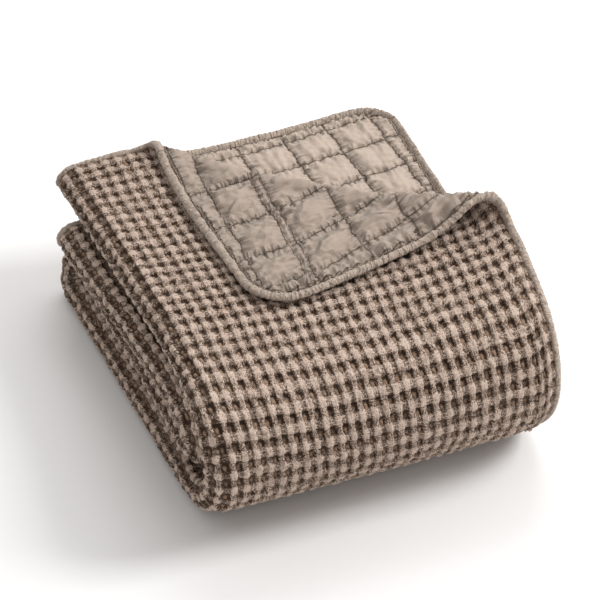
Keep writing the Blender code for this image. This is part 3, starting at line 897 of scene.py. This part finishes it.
def sew(name, rows, thickness, level_of):
    """Lay a stitch between each pair of ends of the rows, on the cloth's own level."""
    stitch, unit = spindle()
    start, end = (np.concatenate(ends) for ends in zip(*rows))
    middle, reach = (start + end) / 2, end - start
    sideways = np.stack((-reach[:, 1], reach[:, 0]), 1) / np.hypot(*reach.T)[:, None]
    polygons = [tuple(polygon.vertices) for polygon in stitch.data.polygons]
    bpy.data.objects.remove(stitch)
    flat = middle[:, None] + reach[:, None] * unit[None, :, :1]
    flat = (flat + sideways[:, None] * (unit[:, 1] * thickness)[None, :, None]).reshape(-1, 2)
    level = np.repeat(level_of(*middle.T), len(unit)) + np.tile(unit[:, 2] * thickness, len(middle))
    points = fold(*flat.T, level)
    starts = range(0, len(middle) * len(unit), len(unit))
    faces = [tuple(corner + first for corner in polygon) for first in starts for polygon in polygons]
    mesh = bpy.data.meshes.new(name)
    mesh.from_pydata(points.tolist(), [], faces)
    stitches = bpy.data.objects.new(name, mesh)
    bpy.context.collection.objects.link(stitches)
    bpy.ops.object.select_all(action="DESELECT")
    stitches.select_set(True)
    bpy.context.view_layer.objects.active = stitches
    bpy.ops.object.shade_smooth()
    return stitches


# ---------------------------------------------------------------- materials

class Wire:
    """A socket of a material's node tree, with arithmetic that adds the nodes for it."""

    def __init__(self, nodes, socket):
        self.nodes = nodes
        self.socket = socket

    def maths(self, operation, *others, swapped=False):
        """Work out an operation on this wire and others, or numbers."""
        values = [self, *others][::-1] if swapped else [self, *others]
        return self.nodes.add("ShaderNodeMath", {"operation": operation}, dict(enumerate(values)))

    def __add__(self, other):
        return self.maths("ADD", other)

    def __sub__(self, other):
        return self.maths("SUBTRACT", other)

    def __rsub__(self, other):
        return self.maths("SUBTRACT", other, swapped=True)

    def __mul__(self, other):
        return self.maths("MULTIPLY", other)

    __radd__, __rmul__ = __add__, __mul__

    def clipped(self):
        return self.maths("MAXIMUM", 0.0).maths("MINIMUM", 1.0)

    def size(self):
        return self.maths("ABSOLUTE")

    def from_whole(self):
        """How far a number is from the nearest whole one, from -0.5 to 0.5."""
        return self - self.maths("ROUND")

    def eased(self, start, end):
        """Smooth step from 0 at the start to 1 at the end."""
        inputs = {0: self, 1: start, 2: end, 3: 0.0, 4: 1.0}
        return self.nodes.add("ShaderNodeMapRange", {"interpolation_type": "SMOOTHSTEP"}, inputs)


class Finish:
    """A material and the means to wire its nodes."""

    def __init__(self, name):
        self.material = bpy.data.materials.new(name)
        self.material.use_nodes = True
        self.tree = self.material.node_tree
        self.tree.nodes.clear()
        self.surface = self.tree.nodes.new("ShaderNodeBsdfPrincipled")
        output = self.tree.nodes.new("ShaderNodeOutputMaterial")
        self.tree.links.new(self.surface.outputs[0], output.inputs[0])

    def add(self, kind, settings=None, inputs=None, output=0):
        """Add a node with its settings, then its input values or links, and give one output."""
        node = self.tree.nodes.new(kind)
        for key, value in (settings or {}).items():
            setattr(node, key, value)
        for key, value in (inputs or {}).items():
            self.join(node.inputs[key], value)
        return Wire(self, node.outputs[output])

    def join(self, socket, value):
        if isinstance(value, Wire):
            self.tree.links.new(value.socket, socket)
        else:
            socket.default_value = value

    def value(self, name):
        return self.add("ShaderNodeAttribute", {"attribute_name": name}, output="Fac")

    def blend(self, share, first, second):
        """Mix two colours. A Mix node set to colour has them in sockets 6 and 7, and its mix in output 2."""
        first, second = (each if isinstance(each, Wire) else (*each[:3], 1.0) for each in (first, second))
        return self.add("ShaderNodeMix", {"data_type": "RGBA"}, {0: share, 6: first, 7: second}, output=2)

    def grain(self, place, scale, detail=2.0, roughness=0.5):
        """Soft cloudy noise from 0 to 1."""
        inputs = {"Vector": place, "Scale": scale, "Detail": detail, "Roughness": roughness}
        return self.add("ShaderNodeTexNoise", None, inputs, output="Fac")

    def flat_cloth(self):
        """The flat cloth's own place in metres: as a vector, across and along."""
        flat = self.add("ShaderNodeUVMap", {"uv_map": "flat_cloth"})
        self.across = self.add("ShaderNodeSeparateXYZ", None, {0: flat})
        self.along = Wire(self, self.across.socket.node.outputs[1])
        return flat, self.across, self.along

    def streaks(self, per_across, per_along, detail=2.0, roughness=0.6, across=None, along=None):
        """Uneven streaks from about -1 to 1, at so many lumps a metre each way."""
        across, along = across or self.across, along or self.along
        place = self.add("ShaderNodeCombineXYZ", None, {0: across * per_across, 1: along * per_along})
        return (self.grain(place, 1.0, detail, roughness) - 0.5) * 4.0

    def raised(self, height, distance, strength=1.0, under=None):
        """Bump of a height over a distance, laid on the bump under it."""
        inputs = {"Height": height, "Distance": distance, "Strength": strength}
        if under is not None:
            inputs["Normal"] = under
        return self.add("ShaderNodeBump", None, inputs)

    def set(self, **values):
        for key, value in values.items():
            self.join(self.surface.inputs[key.replace("_", " ")], value)


def waffle_finish(colours):
    """Waffle cotton: pale puffs, mid ridges of loose yarn, brown hollows with a tan pad. The steps from
    hollow to puff are partly the yarn's tone and partly painted light and shade.
    """
    finish = Finish("waffle_cotton")
    flat, across, along = finish.flat_cloth()
    height, pad, sewn, bend, rim = map(finish.value, ("weave_height", "pad", "sewn", "bend", "rim"))
    stray_across = finish.streaks(210.0, 180.0)
    stray_along = finish.streaks(200.0, 190.0, across=across + 0.4)
    column = (across - HOLLOW_ACROSS) * (1 / CELL_ACROSS) + stray_across * (0.060 + sewn * 0.10)
    row = (along - HOLLOW_ALONG) * (1 / CELL_ALONG) + stray_along * (0.055 + sewn * 0.08)
    side, deep = column.from_whole(), row.from_whole()
    beside, ahead = side.size() * 2.0, deep.size() * 2.0
    warp = (beside - bend * 0.06).eased(0.40, 0.60)
    weft = (ahead - bend * 0.04).eased(0.38, 0.58)
    puff = warp * weft
    hole = (1.0 - warp) * (1.0 - weft)
    # How pale each place is, from 0 in the dark to 1. Puffs are painted paler and hollows darker, as painted
    # light and shade.
    down = finish.streaks(950.0, 230.0)
    over = finish.streaks(260.0, 900.0)
    speck = finish.streaks(820.0, 760.0, 3.0, 0.75)
    fine = finish.streaks(1500.0, 1400.0)
    loops = (1.0 - finish.streaks(450.0, 420.0, 1.0).size() * 4.0).clipped()
    coils = (1.0 - finish.streaks(480.0, 460.0, 1.0, across=across + 0.7).size() * 4.0).clipped()
    loose = 1.0 - puff * 0.40
    patch = finish.streaks(95.0, 75.0, 2.0)
    pale = puff * 0.31 + 0.52 - hole * 0.29 - (weft - puff) * 0.07 + patch * 0.15
    pale += (down * (warp - puff) + over * (weft - puff)) * 0.38 + speck * loose * 0.48 + fine * 0.20
    pale += loops * loose * 0.58 - coils * loose * 0.58
    shadow = (side.eased(0.02, 0.25) + (deep * -1.0).eased(-0.02, 0.22)) * hole
    # Higher places are painted lighter and lower ones darker, and the hollows' back and right walls get a
    # painted shadow.
    pale += (height - 0.72) * 0.32 - shadow * 0.22 + sewn * loose * 0.05
    # On the left bend the hollows and cross ridges are painted darker and the puffs paler. The whole bend is
    # also painted darker, as shade on the side turned from the light.
    bent = (warp - puff) * 0.04 - (weft - puff) * 0.16 - hole * 0.30 + puff * 0.14
    pale += bend * (bent + down * warp * 0.22 - 0.12)
    pale = pale * rim + (1.0 - rim) * 0.35
    low = finish.blend((pale * 2.0).clipped(), colours.hollow, colours.ridge)
    high = finish.blend((pale * 2.0 - 1.0).clipped(), low, colours.puff)
    tan = (pad * 1.5 * hole.eased(0.2, 0.6) * (speck * 0.25 + 0.95) - shadow * 0.25).clipped()
    padded = finish.blend(tan * 0.8, high, colours.pad)
    broad = finish.grain(flat, 22.0, 3.0)
    aged = finish.blend(((broad - 0.5) * 2.0).clipped() * 0.22, padded, colours.toned)
    lifted = speck * 0.16 + fine * 0.06 + (down * warp + over * weft) * 0.14 + loops * 0.22
    bumped = finish.raised(lifted - coils * 0.28, 0.0013)
    finish.set(Base_Color=aged, Roughness=0.93 - puff * 0.05, Normal=bumped)
    finish.set(Sheen_Weight=0.06, Sheen_Roughness=0.6, Specular_IOR_Level=0.06)
    return finish.material


def backing_finish(colours):
    """Plain cotton that has been through the wash, drawn into puckers along the stitch lines. Grooves,
    valleys and pinches are painted darker and puckers and wrinkles lighter, as painted shade and light, and
    the turned corner is painted darker as shade.
    """
    finish = Finish("plain_cotton")
    flat, across, along = finish.flat_cloth()
    height, turned, end_edge = map(finish.value, ("quilt_height", "turned", "end_edge"))
    stray = finish.streaks(230.0, 210.0)
    waver = finish.streaks(210.0, 240.0, across=across + 0.3)
    from_column = finish.value("column_line").from_whole() * finish.value("column_gap")
    from_row = finish.value("row_line").from_whole() * finish.value("row_gap")
    from_column, from_row = (from_column + stray * 0.0006).size(), (from_row + waver * 0.0006).size()
    from_binding = finish.value("from_binding") + stray * 0.0003
    near_column, near_row = from_column.eased(0.0095, 0.0), from_row.eased(0.0110, 0.0)
    near_binding = from_binding.eased(0.0115, 0.001)
    first_row, second_row = ((from_binding - past).size() for past in RIM_ROWS)
    beside_binding = first_row.maths("MINIMUM", second_row)
    by_row = finish.streaks(175.0, 55.0, 1.0)
    by_column = finish.streaks(55.0, 185.0, 1.0)
    gathered = finish.streaks(260.0, 40.0, 1.0, along=along + 0.6) * end_edge
    gathered += finish.streaks(40.0, 240.0, 1.0, across=across + 0.6) * (1.0 - end_edge)
    pinched = by_row * near_row + by_column * near_column + gathered * near_binding
    groove = from_column.maths("MINIMUM", from_row)
    seam = groove.maths("MINIMUM", beside_binding).eased(0.00105, 0.00025)
    valley = groove.eased(0.0040, 0.0)
    pillow = groove.eased(0.0, 0.0130)
    crumple = finish.streaks(75.0, 50.0, 1.5, 0.35)
    slub = finish.streaks(900.0, 420.0, 3.0, 0.7)
    cloth = finish.streaks(1600.0, 1600.0, across=across + 0.2)
    wrinkle = 1.0 - finish.streaks(40.0, 25.0, 1.0, 0.3, across=across + along * 0.4).size() * 3.0
    wrinkle = wrinkle.clipped() * pillow * turned
    # Painted light and shade: darker where the quilting lies low, in the valleys by the seams and in the
    # pinches by the seams and binding, and lighter on the raised sides of puckers, crumples and wrinkles.
    # Slubs are the yarn's own tone.
    shade = 0.93 + pinched * 0.10 + crumple * 0.05 + slub * 0.10 + (height - 0.8) * 0.14
    shade += wrinkle * 0.10
    shade -= valley * 0.14 + (pinched * -1.0).clipped() * (valley + near_binding * 0.6) * 0.55
    slubbed_and_shaded = finish.blend(shade.clipped(), colours.plain_shade, colours.plain)
    broad = finish.grain(flat, 30.0, 4.0)
    mottled = finish.blend(((broad - 0.45) * 1.8).clipped() * 0.25, slubbed_and_shaded, colours.plain_worn)
    shaded = finish.blend(turned * 0.44, mottled, colours.plain_shade)
    # Dark lines along the quilting and the rows beside the binding, in the thread's colour. They are partly
    # the thread and partly painted shade in the stitch groove.
    thread = (seam * (0.88 + by_row * 0.2 + slub * 0.25)).clipped()
    sewn = finish.blend(thread * 0.85, shaded, colours.thread)
    folded = pinched * (turned * 0.45 + 0.75) + (crumple * (turned * 0.20 + 0.55) + wrinkle * 0.80)
    soft = finish.raised(folded + pillow * 0.70 - valley * 0.25, 0.0030)
    creased_more = finish.raised(seam * -0.5, 0.0016, 1.0, soft)
    bumped = finish.raised(slub * 0.12 + cloth * 0.05, 0.0007, 0.9, creased_more)
    finish.set(Base_Color=sewn, Roughness=0.90 - height * 0.04, Normal=bumped)
    finish.set(Sheen_Weight=0.10, Sheen_Roughness=0.55, Specular_IOR_Level=0.12)
    return finish.material


def binding_finish(colours):
    """Gathered plain cotton binding, paler on its puffs and darker in its pinches as painted light and
    shade.
    """
    finish = Finish("binding_cotton")
    finish.flat_cloth()
    gather = finish.value("gather")
    creases = finish.streaks(300.0, 90.0, 3.0)
    slub = finish.streaks(900.0, 700.0, 3.0, 0.7)
    # Painted shade in the pinches where the gathers draw in, and painted light and shade along the creases.
    # Slubs are the yarn's own tone.
    shade = 0.98 - (0.75 - gather).eased(0.0, 0.60) * 0.52 + creases * 0.14 + slub * 0.12
    toned = finish.blend(shade.clipped(), colours.binding_shade, colours.binding)
    soft = finish.raised(gather * 0.6 + creases * 1.5, 0.0018)
    bumped = finish.raised(slub * 0.15, 0.0007, 0.9, soft)
    finish.set(Base_Color=toned, Roughness=0.90 - gather * 0.03, Normal=bumped)
    finish.set(Sheen_Weight=0.10, Sheen_Roughness=0.55, Specular_IOR_Level=0.12)
    return finish.material


def thread_finish(colours):
    """Twisted cotton sewing thread."""
    finish = Finish("sewing_thread")
    place = finish.add("ShaderNodeTexCoord", output="Object")
    twist = finish.grain(place, 900.0, 2.0)
    shade = finish.blend(twist, colours.thread, colours.ridge)
    finish.set(Base_Color=shade, Roughness=0.85, Normal=finish.raised(twist, 0.0003, 0.6))
    finish.set(Specular_IOR_Level=0.2)
    return finish.material


# ---------------------------------------------------------------- what a user may change

def paint(name, description, colour):
    """A colour property, given as linear red, green and blue."""
    return bpy.props.FloatVectorProperty(
        name=name, description=description, default=colour, subtype="COLOR", size=3, min=0.0, max=1.0
    )


class ThrowSizes(bpy.types.PropertyGroup):
    """Sizes of the throw's small parts."""

    binding_step: bpy.props.FloatProperty(
        name="Binding step", description="Length of one step of the binding's gathers",
        default=0.0010, min=0.0008, max=0.01, unit="LENGTH",
    )
    thread: bpy.props.FloatProperty(
        name="Thread", description="Thickness of the sewing thread",
        default=0.0006, min=0.0002, max=0.002, unit="LENGTH",
    )
    floor: bpy.props.FloatProperty(
        name="Floor", description="Side of the floor", default=14.0, min=2.0, max=40.0, unit="LENGTH",
    )


class ThrowColours(bpy.types.PropertyGroup):
    """Colours of the cotton."""

    # Puff, ridge and hollow are mixed by the weave's height, so their steps are partly the yarn's tone and
    # partly painted light and shade.
    puff: paint("Puff", "Raised squares of the waffle weave", (0.69, 0.545, 0.452))
    ridge: paint("Ridge", "Ridges between the hollows", (0.29, 0.210, 0.162))
    hollow: paint("Hollow", "Deep in the hollows", (0.066, 0.038, 0.023))
    pad: paint("Pad", "Middle of a hollow", (0.40, 0.265, 0.175))
    toned: paint("Worn", "Washed patches of the waffle", (0.44, 0.36, 0.29))
    plain: paint("Backing", "Plain backing", (0.460, 0.376, 0.313))
    plain_shade: paint("Backing low", "Plain backing between its crumples", (0.22, 0.172, 0.138))
    plain_worn: paint("Backing worn", "Washed patches of the backing", (0.440, 0.357, 0.295))
    binding: paint("Binding", "Binding strip", (0.515, 0.418, 0.345))
    binding_shade: paint("Binding low", "Binding in its pinches", (0.20, 0.155, 0.125))
    # Thread also colours the dark lines along the backing's stitching, which are partly painted shade.
    thread: paint("Thread", "Sewing thread", (0.115, 0.080, 0.055))
    floor: paint("Floor", "Pale floor", (0.86, 0.855, 0.85))


# ---------------------------------------------------------------- operators

def dress(piece, material, slot_name, *nodes):
    """Give a piece its material and its body, and hide the solids that it stands for. The slot name is not
    used.
    """
    piece.data.materials.clear()
    piece.data.materials.append(material)
    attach(piece, "root")
    if nodes:
        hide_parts(*nodes)


class THROW_OT_waffle_face(bpy.types.Operator):
    """Weave the waffle face and fold it"""

    bl_idname = "throw.waffle_face"
    bl_label = "Waffle face"

    def execute(self, context):
        material = waffle_finish(context.scene.throw_colours)
        for name in FACE_PARTS:
            cloth, flat = build_face_part(name)
            dress(cloth, material, "waffle_cotton", "waffle_face")
            if name == "waffle_front":
                flat = (flat[0], flat[1] * OUTER_FACE)
        return {"FINISHED"}


class THROW_OT_plain_backing(bpy.types.Operator):
    """Quilt the plain backing and fold it"""

    bl_idname = "throw.plain_backing"
    bl_label = "Plain backing"

    def execute(self, context):
        material = backing_finish(context.scene.throw_colours)
        for name in BACKING_PARTS:
            cloth, flat = build_backing_part(name)
            dress(cloth, material, "plain_cotton", "plain_backing")
        return {"FINISHED"}


class THROW_OT_binding(bpy.types.Operator):
    """Gather the binding strip round the cut edge"""

    bl_idname = "throw.binding"
    bl_label = "Binding"

    def execute(self, context):
        cloth, flat = build_binding(context.scene.throw_sizes.binding_step)
        dress(cloth, binding_finish(context.scene.throw_colours), "binding_cotton", "binding")
        return {"FINISHED"}


class THROW_OT_stitches(bpy.types.Operator):
    """Sew the quilting and the rows beside the binding"""

    bl_idname = "throw.stitches"
    bl_label = "Stitches"

    def execute(self, context):
        thread = context.scene.throw_sizes.thread
        material = thread_finish(context.scene.throw_colours)
        rows = quilting_rows(TOP_LAYER_LINES, *TOP_QUILTING)
        rows += quilting_rows(SECOND_LAYER_LINES, *SECOND_QUILTING)
        for number, past_binding in enumerate(RIM_ROWS):
            rows += rim_rows(RIM_SPANS, past_binding, RIM_PITCH, number)
        stitches = sew("quilting_stitches", rows, thread, lambda x, y: backing_level(x, y)[0] - STITCH_LIFT)
        dress(stitches, material, "plain_cotton")
        return {"FINISHED"}


class THROW_OT_stage(bpy.types.Operator):
    """Set the pale floor, the soft light and the camera"""

    bl_idname = "throw.stage"
    bl_label = "Stage"

    def execute(self, context):
        scene = context.scene
        bpy.ops.object.select_all(action="DESELECT")
        bpy.ops.mesh.primitive_plane_add(size=scene.throw_sizes.floor, location=(0.0, 0.0, 0.0))
        floor = context.object
        floor.name = "floor"
        finish = Finish("pale_floor")
        place = finish.add("ShaderNodeTexCoord", output="Object")
        dust = finish.grain(place, 40.0, 2.0)
        shade = finish.blend(dust * 0.04, scene.throw_colours.floor, FLOOR_DUST)
        finish.set(Base_Color=shade, Roughness=0.7, Specular_IOR_Level=0.2)
        floor.data.materials.append(finish.material)
        world = bpy.data.worlds.new("soft_studio")
        world.use_nodes = True
        room = world.node_tree.nodes["Background"].inputs
        room["Color"].default_value, room["Strength"].default_value = ROOM_COLOUR, ROOM_STRENGTH
        scene.world = world
        for number, (place, size, watts) in enumerate(SOFT_LIGHTS):
            bpy.ops.object.light_add(type="AREA", location=place)
            lamp = context.object
            lamp.name = f"soft_light_{number + 1}"
            lamp.data.size = size
            lamp.data.energy = watts
            lamp.rotation_euler = (-Vector(place)).to_track_quat("-Z", "Y").to_euler()
        azimuth, elevation = math.radians(CAMERA_AZIMUTH), math.radians(CAMERA_ELEVATION)
        back = Vector((
            math.sin(azimuth) * math.cos(elevation),
            -math.cos(azimuth) * math.cos(elevation),
            math.sin(elevation),
        ))
        target = Vector(CAMERA_TARGET) - Vector((*FOOTPRINT_MIDDLE, 0.0))
        bpy.ops.object.camera_add(location=target + CAMERA_DISTANCE * back)
        camera = context.object
        camera.name = "camera"
        camera.rotation_euler = (-back).to_track_quat("-Z", "Y").to_euler()
        camera.data.lens = CAMERA_LENS
        camera.data.sensor_width = CAMERA_SENSOR
        camera.data.shift_x, camera.data.shift_y = CAMERA_SHIFT
        scene.camera = camera
        scene.view_settings.view_transform = "Standard"
        return {"FINISHED"}


class THROW_PT_panel(bpy.types.Panel):
    """The throw's sizes, colours and steps"""

    bl_label = "Folded throw"
    bl_idname = "THROW_PT_panel"
    bl_space_type = "VIEW_3D"
    bl_region_type = "UI"
    bl_category = "Throw"

    def draw(self, context):
        for group in (context.scene.throw_sizes, context.scene.throw_colours):
            box = self.layout.box()
            for name in group.bl_rna.properties.keys():
                if name not in ("rna_type", "name"):
                    box.prop(group, name)
        for step in STEPS:
            self.layout.operator(step.bl_idname)


STEPS = (THROW_OT_waffle_face, THROW_OT_plain_backing, THROW_OT_binding, THROW_OT_stitches, THROW_OT_stage)
CLASSES = (ThrowSizes, ThrowColours, *STEPS, THROW_PT_panel)


def register():
    for each in CLASSES:
        bpy.utils.register_class(each)
    bpy.types.Scene.throw_sizes = bpy.props.PointerProperty(type=ThrowSizes)
    bpy.types.Scene.throw_colours = bpy.props.PointerProperty(type=ThrowColours)


def unregister():
    del bpy.types.Scene.throw_colours
    del bpy.types.Scene.throw_sizes
    for each in reversed(CLASSES):
        bpy.utils.unregister_class(each)


def main():
    register()
    bpy.ops.throw.waffle_face()
    bpy.ops.throw.plain_backing()
    bpy.ops.throw.binding()
    bpy.ops.throw.stitches()
    bpy.ops.throw.stage()


if __name__ == "__main__":
    main()
